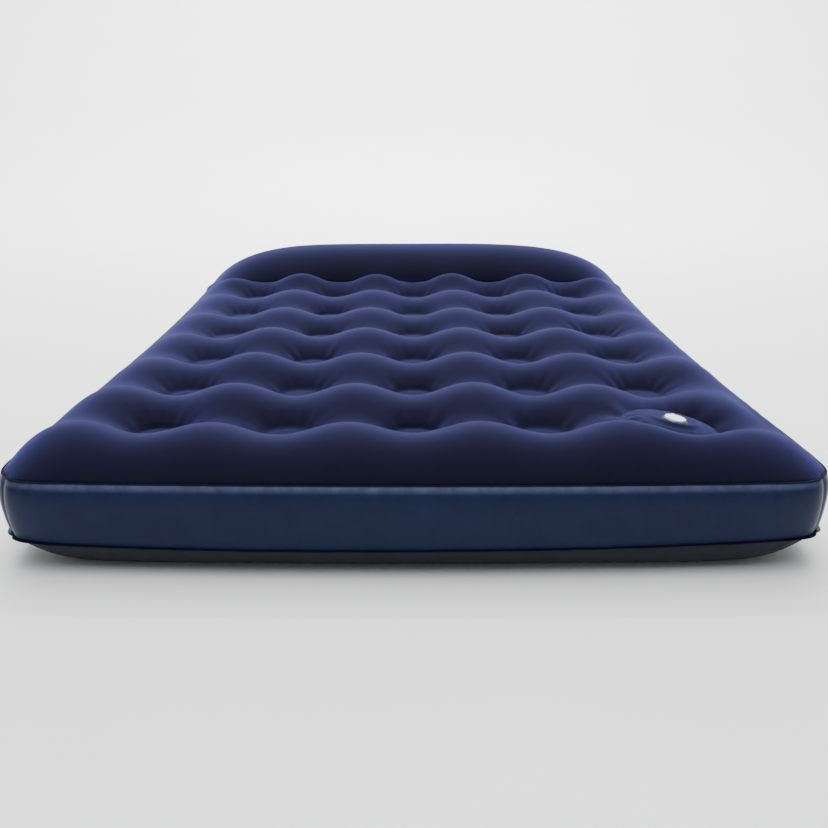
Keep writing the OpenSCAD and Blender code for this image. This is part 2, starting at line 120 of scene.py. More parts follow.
def corner(u, v):
    return np.abs(u) ** CORNER_POWER * np.abs(v) ** CORNER_POWER


def plan(u, v):
    """The seam outline's plan, filled in: u runs across the bed and v along it, both from -1 to 1."""
    x = u * (HALF_WIDTH - pull(v)) - np.sign(u) * CORNER_INSET * corner(u, v)
    y = v * HALF_LENGTH - np.sign(v) * (END_BOW * u * u * np.power(v, 6) + CORNER_INSET * corner(u, v))
    return x, y


def smooth(t):
    t = np.clip(t, 0, 1)
    return t * t * (3 - 2 * t)


def beyond(value, start, width):
    """0 up to start, then a smooth rise to 1 over width."""
    return smooth((value - start) / width)


def within(value, end, width):
    """1 at first, then a smooth fall to 0 over the last width before end."""
    return smooth((end - value) / width)


# ---------------------------------------------------------------- meshes

def mesh_object(name, points, faces, material):
    mesh = bpy.data.meshes.new(name)
    corners = [tuple(p) for p in np.asarray(points, float)]
    mesh.from_pydata(corners, [], [tuple(int(i) for i in f) for f in faces])
    mesh.validate()
    mesh.update()
    obj = bpy.data.objects.new(name, mesh)
    bpy.context.scene.collection.objects.link(obj)
    obj.data.materials.append(material)
    mesh.shade_smooth()
    return obj


def grid_faces(rows, cols, keep=None, closed=False, flip=False):
    """Quads of a rows by cols grid of points. keep masks the cells, and closed joins the last column to the
    first."""
    last = cols if closed else cols - 1
    i, j = np.meshgrid(np.arange(rows - 1), np.arange(last), indexing="ij")
    right = (j + 1) % cols
    quads = np.stack([i * cols + j, i * cols + right, (i + 1) * cols + right, (i + 1) * cols + j], axis=-1)
    if flip:
        quads = quads[..., ::-1]
    return quads[keep] if keep is not None else quads.reshape(-1, 4)


def used_only(points, faces):
    used, index = np.unique(faces, return_inverse=True)
    return points[used], index.reshape(faces.shape)


def modifier(obj, kind, **settings):
    m = obj.modifiers.new(kind.title(), kind)
    for key, value in settings.items():
        setattr(m, key, value)


def apply_modifiers(obj):
    depsgraph = bpy.context.evaluated_depsgraph_get()
    mesh = bpy.data.meshes.new_from_object(obj.evaluated_get(depsgraph))
    old = obj.data
    obj.modifiers.clear()
    obj.data = mesh
    bpy.data.meshes.remove(old)


def subdivide(obj):
    modifier(obj, "SUBSURF", levels=1, render_levels=1)
    apply_modifiers(obj)


def thicken(obj, thickness):
    """Gives a sheet its thickness, on the inner side."""
    modifier(obj, "SOLIDIFY", thickness=thickness, offset=-1)
    apply_modifiers(obj)
    obj.data.shade_smooth()


# ---------------------------------------------------------------- the pressed membrane

def inflate(points, pinned, bend, steps, floor=None):
    """A sheet under air pressure: each point moves to the mean of its neighbours, pushed out along the
    sheet's normal. points is rows by cols by 3, pinned marks the held points, and bend is pressure over
    tension, in 1/m."""
    p = points.copy()
    free = ~pinned[1:-1, 1:-1, None]
    du = float(np.median(np.linalg.norm(np.diff(points, axis=1), axis=2)))
    dv = float(np.median(np.linalg.norm(np.diff(points, axis=0), axis=2)))
    wu, wv = 1 / du ** 2, 1 / dv ** 2
    speed = np.zeros_like(p[1:-1, 1:-1])
    load = bend[1:-1, 1:-1, None] / (du * dv)
    for _ in range(steps):
        along_u = (p[1:-1, 2:] - p[1:-1, :-2]) / 2
        along_v = (p[2:, 1:-1] - p[:-2, 1:-1]) / 2
        total = wu * (p[1:-1, 2:] + p[1:-1, :-2]) + wv * (p[2:, 1:-1] + p[:-2, 1:-1])
        target = (total + load * np.cross(along_u, along_v)) / (2 * wu + 2 * wv)
        speed = 0.9 * speed + (target - p[1:-1, 1:-1])
        speed *= free
        p[1:-1, 1:-1] += speed
        if floor is not None:
            under = p[..., 2] < floor
            p[..., 2] = np.where(under, floor, p[..., 2])
            speed[..., 2] *= ~under[1:-1, 1:-1]
    return p


def refine(points):
    """Twice as many cells each way, by linear steps."""
    rows, cols = points.shape[:2]
    out = np.empty((2 * rows - 1, 2 * cols - 1, 3))
    out[::2, ::2] = points
    out[1::2, ::2] = (points[1:] + points[:-1]) / 2
    out[:, 1::2] = (out[:, 2::2] + out[:, :-2:2]) / 2
    return out


def snap_to_circle(x, y, centre, radius, cell):
    """Points near a circle are moved onto it, so that its edge is a clean one. Also says which lie in it."""
    dx, dy = x - centre[0], y - centre[1]
    away = np.hypot(dx, dy)
    on = np.abs(away - radius) < 0.52 * cell
    k = np.where(on, radius / np.maximum(away, 1e-9), 1)
    return centre[0] + dx * k, centre[1] + dy * k, away < radius + 0.52 * cell


def pump_plane(x):
    return pump_centre.z - (x - pump_centre.x) * math.tan(PUMP_TILT)


SADDLE_BEND = 1.6
CROWN_BEND = 15.7
EDGE_BEND = 9.7
PILLOW_BEND = 7.9
BASE_BEND = 13.0
VALLEY_BEND = 34.0
VALLEY_WAVE = 0.012
PUMP_BEND = 15.0
PUMP_BAND = 0.030
FOOT_LEAN = 0.12
FOOT_BEND = 9.0
CORNER_BEND = 3.0
RIGHT_CORNER = 0.3  # the front right corner's share of CORNER_BEND
FLANK_SAG = 0.011
COLUMNS = sorted({round(c.x, 3) for c in coils})
ROWS = sorted({round(c.y, 3) for c in coils})
COLUMN_PITCH = COLUMNS[1] - COLUMNS[0]
ROW_PITCH = (ROWS[-1] - ROWS[0]) / (len(ROWS) - 1)


def crowns(x, y):
    """1 midway between four coils, and 0 at a coil or between two neighbours, where the sheet is pulled
    tight."""
    mid_x = np.abs(x) > COLUMNS[-1] + COLUMN_PITCH / 2
    mid_y = (y < ROWS[0] - ROW_PITCH / 2) | (y > ROWS[-1] + ROW_PITCH / 2)
    across = np.where(mid_x, -1, np.cos(2 * math.pi * (x - COLUMNS[0]) / COLUMN_PITCH))
    along = np.where(mid_y, -1, np.cos(2 * math.pi * (y - ROWS[0]) / ROW_PITCH))
    return (1 - across) * (1 - along) / 4


def top_layout(u, v):
    """Start, pins and load of the flocked top at the given grid of u and v."""
    x, y = plan(u, v)
    cell = float(np.median(np.diff(x, axis=1)))
    z = np.full_like(x, TOP_SEAM_Z)
    pinned = np.zeros(x.shape, bool)
    pinned[0, :] = pinned[-1, :] = True
    pinned[:, 0] = pinned[:, -1] = True
    seam_row = int(np.argmin(np.abs(v[:, 0] * HALF_LENGTH - PILLOW_Y)))
    rise = np.sqrt(np.clip(1 - np.abs(u[seam_row]) ** 14, 0, 1))
    y[seam_row] = plan(u[seam_row], 0 * u[seam_row] + PILLOW_Y / HALF_LENGTH)[1]
    valley = PILLOW_SEAM_Z + VALLEY_WAVE * crowns(x[seam_row], y[seam_row])
    z[seam_row] = TOP_SEAM_Z + (valley - TOP_SEAM_Z) * rise
    pinned[seam_row] = True
    for c in coils:
        x, y, inside = snap_to_circle(x, y, c, WELD_RADIUS, cell)
        z = np.where(inside, TOP_DISC_Z, z)
        pinned |= inside
    x, y, inside = snap_to_circle(x, y, pump_centre, PUMP_RADIUS, cell)
    z = np.where(inside, pump_plane(x), z)
    pinned |= inside
    front = beyond(y - ROWS[-1], start=0.04, width=0.07) * crowns(x, y)
    field = SADDLE_BEND + (CROWN_BEND - SADDLE_BEND) * crowns(x, y) + VALLEY_BEND * front
    side = within((1 - np.abs(u)) * HALF_WIDTH, end=0.12, width=0.08)
    field = field * (1 - side) + EDGE_BEND * side
    foot = beyond(ROWS[0] - y, start=0.095, width=0.06)
    field = (field * (1 - foot) + FOOT_BEND * foot) * (1 - FOOT_LEAN * v)
    full = beyond(np.abs(u), start=0.72, width=0.2) * beyond(-v, start=0.74, width=0.2)
    full = full * np.where(u > 0, RIGHT_CORNER, 1)
    field = field + CORNER_BEND * full
    away = np.hypot(x - pump_centre.x, y - pump_centre.y)
    before = smooth(((pump_centre.y - y) / np.maximum(away, 0.01) - 0.35) / 0.65)
    field = field + PUMP_BEND * before * np.exp(-((away - PUMP_RADIUS - 0.03) / PUMP_BAND) ** 2)
    bend = np.where(np.arange(u.shape[0])[:, None] > seam_row, PILLOW_BEND, field)
    return np.stack([x, y, z], -1), pinned, bend, seam_row


def solved(layout, levels, steps, **options):
    """Runs inflate from a coarse grid to a fine one. layout(u, v) gives the points, pins and load."""
    guess = None
    for k, (cols, rows) in enumerate(levels):
        u, v = np.meshgrid(np.linspace(-1, 1, cols + 1), np.linspace(-1, 1, rows + 1))
        points, pinned, bend, seam = layout(u, v)
        if guess is not None:
            points = np.where(pinned[..., None], points, refine(guess))
        guess = inflate(points, pinned, bend, steps[k], **options)
    return guess, pinned, seam, u, v


def cloth_pass(obj, held, pressure, shrink, frames, most):
    """Blender's cloth on the piece's own mesh. held are the vertices that stay, a negative shrink is spare
    fabric, and no point moves further than most. The result is put in the mesh."""
    start = np.array([v.co[:] for v in obj.data.vertices])
    group = obj.vertex_groups.new(name="held")
    group.add([int(i) for i in held], 1.0, "REPLACE")
    cloth = obj.modifiers.new("Cloth", "CLOTH")
    rules = cloth.settings
    rules.vertex_group_mass = "held"
    rules.quality = 6
    rules.mass = 0.3
    rules.tension_stiffness = rules.compression_stiffness = 12
    rules.shear_stiffness = 6
    rules.bending_stiffness = 0.4
    rules.use_pressure = True
    rules.uniform_pressure_force = pressure
    rules.shrink_min = shrink
    rules.effector_weights.gravity = 0
    cloth.collision_settings.use_collision = False
    cloth.point_cache.frame_start = 1
    cloth.point_cache.frame_end = frames
    scene = bpy.context.scene
    for frame_number in range(1, frames + 1):
        scene.frame_set(frame_number)
    apply_modifiers(obj)
    scene.frame_set(1)
    move = np.array([v.co[:] for v in obj.data.vertices]) - start
    size = np.linalg.norm(move, axis=1, keepdims=True)
    end = start + move * np.minimum(1, most / np.maximum(size, 1e-9))
    obj.data.vertices.foreach_set("co", end.ravel())
    obj.data.update()
    obj.vertex_groups.clear()


# ---------------------------------------------------------------- fine relief, in plan

def waves(seed, count, low, high):
    rng = np.random.default_rng(seed)
    return rng.integers(low, high, count), rng.uniform(0, 2 * math.pi, count), rng.uniform(0.4, 1, count)


def radial_folds(x, y, centre, radius, reach, height, seed):
    """Small folds that run out from a round weld and die away."""
    dx, dy = x - centre[0], y - centre[1]
    away, turn = np.hypot(dx, dy), np.arctan2(dy, dx)
    numbers, phases, sizes = waves(seed, 5, 7, 19)
    folds = sum(s * np.cos(n * turn + f) for n, f, s in zip(numbers, phases, sizes)) / sizes.sum()
    out = np.clip((away - radius) / reach, 0, None)
    return height * folds * np.where(away > radius, np.minimum(1, out * 4) * np.exp(-1.6 * out), 0)


def drift(x, y, seed, size):
    """A slow wander of about -1 to 1 over the plan."""
    rng = np.random.default_rng(seed)
    total = np.zeros_like(x)
    for _ in range(9):
        turn, phase = rng.uniform(0, math.pi), rng.uniform(0, 2 * math.pi)
        length = size * rng.uniform(0.6, 1.7)
        total += np.cos(2 * math.pi * (x * math.cos(turn) + y * math.sin(turn)) / length + phase)
    return total / 4


def normals_of(p):
    du = np.gradient(p, axis=1)
    dv = np.gradient(p, axis=0)
    n = np.cross(du, dv)
    return n / np.maximum(np.linalg.norm(n, axis=2, keepdims=True), 1e-12)


# ---------------------------------------------------------------- materials

def srgb(r, g, b):
    """A colour given as on a screen, 0 to 255, in the linear values that the shaders take."""
    def line(c):
        c = c / 255
        return c / 12.92 if c <= 0.04045 else ((c + 0.055) / 1.055) ** 2.4
    return (line(r), line(g), line(b), 1.0)


class Nodes:
    """A material's node tree, one short call per node."""

    def __init__(self, name):
        self.material = bpy.data.materials.new(name)
        self.material.use_nodes = True
        self.tree = self.material.node_tree
        self.shader = self.tree.nodes["Principled BSDF"]
        self.where = self.add("ShaderNodeTexCoord").outputs["Object"]

    def add(self, kind, **settings):
        node = self.tree.nodes.new(kind)
        for key, value in settings.items():
            setattr(node, key, value)
        return node

    def link(self, a, b):
        self.tree.links.new(a, b)

    def set(self, **values):
        for key, value in values.items():
            self.shader.inputs[key.replace("_", " ")].default_value = value

    def scaled(self, factors):
        node = self.add("ShaderNodeMapping")
        node.inputs["Scale"].default_value = factors
        self.link(self.where, node.inputs["Vector"])
        return node.outputs["Vector"]

    def noise(self, scale, detail=4.0, rough=0.55, where=None, warp=0.0):
        node = self.add("ShaderNodeTexNoise")
        node.inputs["Scale"].default_value = scale
        node.inputs["Detail"].default_value = detail
        node.inputs["Roughness"].default_value = rough
        node.inputs["Distortion"].default_value = warp
        self.link(where or self.where, node.inputs["Vector"])
        return node.outputs["Fac"]

    def cells(self, scale):
        node = self.add("ShaderNodeTexVoronoi", feature="F1")
        node.inputs["Scale"].default_value = scale
        self.link(self.where, node.inputs["Vector"])
        return node.outputs["Distance"]

    def ramp(self, value, stops):
        node = self.add("ShaderNodeValToRGB")
        ends = node.color_ramp.elements
        while len(ends) < len(stops):
            ends.new(0.5)
        for end, (at, colour) in zip(ends, stops):
            end.position = at
            end.color = colour
        self.link(value, node.inputs["Fac"])
        return node.outputs["Color"]

    def mix(self, share, a, b, kind="MIX"):
        node = self.add("ShaderNodeMix", data_type="RGBA", blend_type=kind)
        for socket, value in ((node.inputs["Factor"], share), (node.inputs["A"], a), (node.inputs["B"], b)):
            if isinstance(value, (int, float, tuple)):
                socket.default_value = value
            else:
                self.link(value, socket)
        return node.outputs["Result"]

    def bump(self, height, strength, distance, below=None):
        node = self.add("ShaderNodeBump")
        node.inputs["Strength"].default_value = strength
        node.inputs["Distance"].default_value = distance
        self.link(height, node.inputs["Height"])
        if below is not None:
            self.link(below, node.inputs["Normal"])
        return node.outputs["Normal"]

    def shade(self, color=None, rough=None, normal=None):
        for name, value in (("Base Color", color), ("Roughness", rough), ("Normal", normal)):
            if value is not None:
                self.link(value, self.shader.inputs[name])
        return self.material

    def number(self, value, low, high):
        node = self.add("ShaderNodeMapRange")
        node.inputs["To Min"].default_value = low
        node.inputs["To Max"].default_value = high
        self.link(value, node.inputs["Value"])
        return node.outputs["Result"]


def flock_material():
    """Short navy flock: dark seen square on, paler where the fibres are seen from the side."""
    n = Nodes("flock")
    patches = n.noise(scale=9, detail=5, rough=0.6, warp=0.6)
    fibres = n.noise(scale=1900, detail=3, rough=0.75)
    tufts = n.noise(scale=420, detail=4, rough=0.65)
    base = n.ramp(patches, [(0.30, srgb(10, 11, 18)), (0.70, srgb(14, 14, 24))])
    color = n.mix(0.55, base, n.ramp(fibres, [(0.28, srgb(6, 6, 10)), (0.72, srgb(21, 22, 36))]))
    normal = n.bump(tufts, strength=0.35, distance=0.0008)
    normal = n.bump(fibres, strength=0.55, distance=0.0005, below=normal)
    n.set(Specular_IOR_Level=0.03, Sheen_Weight=0.34, Sheen_Roughness=0.49, Sheen_Tint=srgb(138, 140, 246))
    return n.shade(color, n.number(patches, 0.82, 0.95), normal)


def film_layers(n, low, high, grain):
    """A slow bloom, a two-tone colour from low to high, and the normal of a fine leathery emboss."""
    bloom = n.noise(scale=14, detail=5, rough=0.6, warp=0.4)
    fine = n.noise(scale=1400, detail=3, rough=0.6)
    slow_color = n.ramp(bloom, [(0.3, low), (0.7, high)])
    fine_color = n.ramp(fine, [(0.3, low), (0.7, high)])
    color = n.mix(0.35, slow_color, fine_color)
    normal = n.bump(n.cells(900), strength=grain, distance=0.0005)
    normal = n.bump(fine, strength=0.12, distance=0.0003, below=normal)
    return bloom, color, normal


def pvc_material(name, low, high, rough=(0.42, 0.55), grain=0.22, gloss=0.2):
    """Calendered PVC film: a fine leathery emboss, a soft gloss and a faint bloom of colour."""
    n = Nodes(name)
    bloom, color, normal = film_layers(n, low, high, grain)
    n.set(Specular_IOR_Level=gloss)
    return n.shade(color, n.number(bloom, *rough), normal)


def wall_material():
    """Navy PVC, with a painted highlight: a paler, patchy band just under the top weld, where the top of the
    wall's bulge faces the top light.
    """
    n = Nodes("wall_pvc")
    bloom, color, normal = film_layers(n, srgb(17, 25, 48), srgb(23, 32, 59), grain=0.22)
    height = n.add("ShaderNodeSeparateXYZ")
    n.link(n.where, height.inputs[0])
    # Painted highlight: this mask rises from 15 mm to 3 mm below the top weld, where the bulge's shoulder
    # faces the top light.
    highlight_band = n.add("ShaderNodeMapRange", interpolation_type="SMOOTHERSTEP")
    highlight_band.inputs["From Min"].default_value = TOP_SEAM_Z - 0.015
    highlight_band.inputs["From Max"].default_value = TOP_SEAM_Z - 0.003
    highlight_band.inputs["To Max"].default_value = 0.95
    n.link(height.outputs["Z"], highlight_band.inputs["Value"])
    patchy = n.noise(scale=38, detail=4, rough=0.6, where=n.scaled((1, 1, 0.5)))
    uneven = n.ramp(patchy, [(0.35, (0.55, 0.55, 0.55, 1)), (0.65, (1, 1, 1, 1))])
    share = n.mix(1.0, highlight_band.outputs["Result"], uneven, "MULTIPLY")
    # The painted highlight: in that band the wall's colour is mixed towards a pale blue-grey, made patchy by
    # the noise above.
    color = n.mix(share, color, srgb(62, 69, 96))
    n.set(Specular_IOR_Level=0.09)
    return n.shade(color, n.number(bloom, 0.38, 0.48), normal)


def plastic_material(name, low, high, rough=(0.30, 0.42), gloss=0.5):
    """Moulded plastic: a very fine spark-eroded texture and slight flow marks."""
    n = Nodes(name)
    flow = n.noise(scale=60, detail=3, rough=0.5, where=n.scaled((1, 1, 3)))
    spark = n.noise(scale=2600, detail=2, rough=0.5)
    n.set(Specular_IOR_Level=gloss)
    color = n.ramp(flow, [(0.3, low), (0.7, high)])
    return n.shade(color, n.number(flow, *rough), n.bump(spark, strength=0.18, distance=0.0002))


def foam_material():
    n = Nodes("open_foam")
    pores = n.cells(700)
    # The pores' pits are painted darker than the rest of the foam: painted shade in the pits.
    color = n.ramp(pores, [(0.05, srgb(40, 40, 43)), (0.5, srgb(118, 118, 122))])
    return n.shade(color, n.number(pores, 0.8, 0.95), n.bump(pores, strength=0.6, distance=0.001))


def floor_material():
    n = Nodes("studio_floor")
    faint = n.noise(scale=3, detail=2, rough=0.5)
    color = n.ramp(faint, [(0.3, (0.93, 0.93, 0.94, 1)), (0.7, (0.95, 0.95, 0.96, 1))])
    return n.shade(color, n.number(faint, 0.75, 0.85))


FLOCK = flock_material()
WALL = wall_material()
BASE = pvc_material("base_pvc", srgb(25, 28, 33), srgb(32, 35, 40), rough=(0.5, 0.62), gloss=0.10)
HEM = pvc_material("hem_pvc", srgb(11, 13, 20), srgb(18, 20, 30), rough=(0.40, 0.50), grain=0.3, gloss=0.12)
WELD = pvc_material("weld_pvc", srgb(11, 13, 22), srgb(18, 20, 32), rough=(0.6, 0.7), grain=0.4, gloss=0.03)
FILM = pvc_material("inner_film", srgb(70, 84, 112), srgb(96, 110, 138))
WHITE = plastic_material("white_plastic", srgb(214, 220, 230), srgb(232, 236, 242))
DARK = plastic_material("dark_plastic", srgb(14, 17, 27), srgb(21, 25, 38), rough=(0.5, 0.6), gloss=0.12)
BLUE = plastic_material("blue_plastic", srgb(25, 36, 70), srgb(34, 48, 88))
RUBBER = plastic_material("seal_rubber", srgb(14, 14, 15), srgb(24, 24, 26), rough=(0.6, 0.75))
FOAM = foam_material()


# ---------------------------------------------------------------- the flocked top and the pillow

TOP_DRIFT = 0.0016


def build_top():
    """The flocked top and the pillow, which share one pressed sheet and part at the pillow's weld."""
    levels = [(43, 60), (86, 120), (172, 240), (344, 480)]
    p, pinned, seam, u, v = solved(top_layout, levels, (260, 160, 160, 60))
    x, y = p[..., 0], p[..., 1]
    edge = np.minimum(1 - np.abs(u), (1 - np.abs(v)) * 1.4)
    loose = np.where(pinned, 0, 1) * beyond(edge, start=0, width=0.04)
    relief = TOP_DRIFT * drift(x, y, seed=3, size=0.42) * beyond(edge, start=0, width=0.15)
    for k, c in enumerate(coils):
        relief += radial_folds(x, y, c, WELD_RADIUS, reach=0.035, height=0.0026, seed=100 + k)
    relief += radial_folds(x, y, pump_centre, PUMP_RADIUS, reach=0.05, height=0.0045, seed=77)
    p = p + normals_of(p) * (relief * loose)[..., None]
    sag = np.exp(-((y - SAG_Y) / SAG_REACH) ** 2)
    sag = sag * beyond(u, start=0.73, width=0.15) * within(u, end=1, width=0.07)
    p[..., 2] -= FLANK_SAG * sag * loose
    for c in coils:
        away = np.hypot(x - c[0], y - c[1])
        p[..., 2] -= 0.0010 * np.exp(-((away - WELD_LINE) / 0.0035) ** 2)
    rows, cols = p.shape[:2]
    centre_x, centre_y = (x[1:, 1:] + x[:-1, :-1]) / 2, (y[1:, 1:] + y[:-1, :-1]) / 2
    in_pump = np.hypot(centre_x - pump_centre.x, centre_y - pump_centre.y) < PUMP_RADIUS - 0.006
    row = np.arange(rows - 1)[:, None] + 0 * in_pump
    flat = p.reshape(-1, 3)
    for name, node, keep in (("top_skin", "top_sheet", (row < seam) & ~in_pump),
                             ("pillow_skin", "pillow_panel", row >= seam)):
        points, faces = used_only(flat, grid_faces(rows, cols, keep))
        obj = mesh_object(name, points, faces, FLOCK)
        thicken(obj, SHEET)
        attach(obj, "mattress")
        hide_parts(node)
    return p, seam


# ---------------------------------------------------------------- outline, welds and wall

def outline(count):
    """The seam's plan once round, anticlockwise from the foot's left corner, in equal steps, with its outward
    way and the length run so far."""
    t = np.linspace(-1, 1, 600)[:-1]
    one = np.ones_like(t)
    x, y = plan(np.concatenate([t, one, -t, -one]), np.concatenate([-one, t, one, -t]))
    step = np.hypot(np.diff(np.append(x, x[0])), np.diff(np.append(y, y[0])))
    along = np.concatenate([[0], np.cumsum(step)])
    at = np.linspace(0, along[-1], count, endpoint=False)
    x, y = np.interp(at, along, np.append(x, x[0])), np.interp(at, along, np.append(y, y[0]))
    dx, dy = np.roll(x, -2) - np.roll(x, 2), np.roll(y, -2) - np.roll(y, 2)
    size = np.hypot(dx, dy)
    return np.stack([x, y], -1), np.stack([dy / size, -dx / size], -1), at


def near_corner(xy):
    near_side = beyond(np.abs(xy[:, 0]) / HALF_WIDTH, start=0.80, width=0.16)
    near_end = beyond(np.abs(xy[:, 1]) / HALF_LENGTH, start=0.86, width=0.11)
    return near_side * near_end


PUMP_SIDE_LIFT = 0.004


def bottom_seam_height(xy):
    """The lower weld lifts a little towards the corners, and a little more on the pump's side."""
    u, v = np.clip(xy[:, 0] / HALF_WIDTH, -1, 1), np.clip(xy[:, 1] / HALF_LENGTH, -1, 1)
    return BOTTOM_SEAM_Z + (CORNER_LIFT * np.abs(u) ** 2.5 + PUMP_SIDE_LIFT * u) * v ** 8


ROUND = 1400  # points once round the bed
TOP_PUCKER = 0.0026
LOW_PUCKER = 0.0008
LONG_WAVE = 0.0012
WELD_WAVE = 0.0007
WELD_EAR = 0.0016  # how much wider a flange is at the corners


def build_wall():
    """The side wall: a smooth band that bulges between its two welds, with fine puckers under the top one."""
    xy, out, at = outline(ROUND)
    rows = 40
    low, high = bottom_seam_height(xy), np.full(ROUND, TOP_SEAM_Z)
    t = (1 - np.cos(np.linspace(0, math.pi, rows + 1)))[:, None] / 2
    skew = t ** 1.5
    bulge = WALL_BULGE * (1 - 0.35 * near_corner(xy)) * (4 * skew * (1 - skew)) ** 0.62
    numbers, phases, sizes = waves(11, 30, 70, 260)
    length = at / at[-1] * 2 * math.pi
    pucker = sum(s * np.cos(n * length + f) for n, f, s in zip(numbers, phases, sizes)) / 6
    gather = smooth(0.5 + 0.9 * np.cos(3 * length + 1.2) * np.cos(5 * length + 0.4))
    ruck = TOP_PUCKER * pucker * (0.25 + 0.75 * gather) * np.exp(-((1 - t) / 0.15))
    ruck = ruck * within(t, end=1, width=0.06)
    ruck = ruck + LOW_PUCKER * np.roll(pucker, 90) * np.exp(-(t / 0.14)) * beyond(t, start=0, width=0.05)
    ruck = ruck + LONG_WAVE * np.cos(7 * length + 0.6) * np.sin(math.pi * t)
    push = bulge + ruck
    from_valve = np.hypot(xy[:, 0] - valve_middle.x, xy[:, 1] - HALF_LENGTH)
    flat_here = within(from_valve, end=0.055, width=0.02)
    push = push * (1 - flat_here) + (WALL_BULGE * np.minimum(1, 4.5 * t * (1 - t))) * flat_here
    z = low + (high - low) * t
    p = np.stack([xy[:, 0] + push * out[:, 0], xy[:, 1] + push * out[:, 1], z], -1)
    dx, dz = p[..., 0] - valve_middle.x, p[..., 2] - valve_middle.z
    away = np.hypot(dx, dz)
    behind = p[..., 1] > 0
    on = behind & (np.abs(away - VALVE_HOLE) < 0.004)
    k = np.where(on, VALVE_HOLE / np.maximum(away, 1e-9), 1)
    p[..., 0] = np.where(on, valve_middle.x + dx * k, p[..., 0])
    p[..., 2] = np.where(on, valve_middle.z + dz * k, p[..., 2])
    faces = grid_faces(rows + 1, ROUND, closed=True)
    centres = p.reshape(-1, 3)[faces].mean(axis=1)
    from_valve = np.hypot(centres[:, 0] - valve_middle.x, centres[:, 2] - valve_middle.z)
    inside = (from_valve < VALVE_HOLE) & (centres[:, 1] > 0)
    points, faces = used_only(p.reshape(-1, 3), faces[~inside])
    obj = mesh_object("wall_skin", points, faces, WALL)
    thicken(obj, SHEET * FILM_SHARE)
    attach(obj, "mattress")
    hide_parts("side_wall")


def build_weld(name, node, height, seed, width, material):
    """A welded flange: two flattened films that stand out along a seam, a little wavy."""
    xy, out, at = outline(ROUND)
    numbers, phases, sizes = waves(seed, 18, 20, 160)
    length = at / at[-1] * 2 * math.pi
    wave = sum(s * np.cos(n * length + f) for n, f, s in zip(numbers, phases, sizes)) / 5
    lean = WELD_WAVE * wave
    width = width + WELD_EAR * near_corner(xy)
    section = [(-0.003, -1), (0.45, -1), (0.9, -0.8), (1.0, 0.0), (0.9, 0.8), (0.45, 1), (-0.003, 1)]
    rings = []
    for reach, side in section:
        d = width * reach if reach > 0 else np.full(ROUND, reach)
        z = height(xy) + side * WELD_HALF + lean * max(reach, 0)
        rings.append(np.stack([xy[:, 0] + d * out[:, 0], xy[:, 1] + d * out[:, 1], z], -1))
    points = np.array(rings).reshape(-1, 3)
    faces = grid_faces(len(section) + 1, ROUND, closed=True) % len(points)
    obj = mesh_object(name, points, faces, material)
    subdivide(obj)
    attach(obj, "mattress")
    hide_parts(node)


# ---------------------------------------------------------------- bottom

def base_layout(u, v):
    x, y = plan(u, v)
    cell = float(np.median(np.diff(x, axis=1)))
    z = np.full_like(x, BOTTOM_SEAM_Z * 0.4)
    pinned = np.zeros(x.shape, bool)
    pinned[0, :] = pinned[-1, :] = True
    pinned[:, 0] = pinned[:, -1] = True
    rim = bottom_seam_height(np.stack([x.ravel(), y.ravel()], -1)).reshape(x.shape)
    z = np.where(pinned, rim, z)
    for c in coils:
        x, y, inside = snap_to_circle(x, y, c, WELD_RADIUS, cell)
        z = np.where(inside, BOTTOM_DISC_Z, z)
        pinned |= inside
    bend = np.full_like(x, -BASE_BEND)
    return np.stack([x, y, z], -1), pinned, bend, 0


def build_bottom():
    p = solved(base_layout, [(43, 60), (86, 120)], (260, 200), floor=0.0)[0]
    rows, cols = p.shape[:2]
    points, faces = used_only(p.reshape(-1, 3), grid_faces(rows, cols, flip=True))
    obj = mesh_object("bottom_skin", points, faces, BASE)
    subdivide(obj)
    thicken(obj, SHEET * FILM_SHARE)
    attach(obj, "mattress")
    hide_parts("bottom_sheet")


def build_pillow_weld(p, seam):
    """The weld in the valley before the pillow: a narrow strip of film under the flocked sheets' edges."""
    line = p[seam, 2:-2]
    across = np.array([(-0.004, -0.0006), (0.004, -0.0006), (0.004, -0.0018), (-0.004, -0.0018)])
    offsets = np.stack([0 * across[:, 0], across[:, 0], across[:, 1]], -1)
    points = (line[None] + offsets[:, None]).reshape(-1, 3)
    cols = len(line)
    faces = grid_faces(5, cols)
    faces = faces % len(points)
    caps = [[k * cols for k in range(4)], [k * cols + cols - 1 for k in (3, 2, 1, 0)]]
    obj = mesh_object("pillow_weld", points, [list(f) for f in faces] + caps, WELD)
    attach(obj, "mattress")
    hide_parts("pillow_seam")


# ---------------------------------------------------------------- foot pump

def pump_point(x, y, z):
    """A place in the pump's own frame, whose +Z leaves the bed, in the bed's frame."""
    turn = Matrix.Rotation(PUMP_TILT, 3, "Y")
    return pump_centre + turn @ Vector((x, y, z))


CROWN_RISE = 0.0048  # the dome's crown, above the middle of the intake
INTAKE_ROLL = 0.0062  # the roll of cloth round the intake
DOME_FOLDS = 0.0016
DOME_CLOTH = 0.002


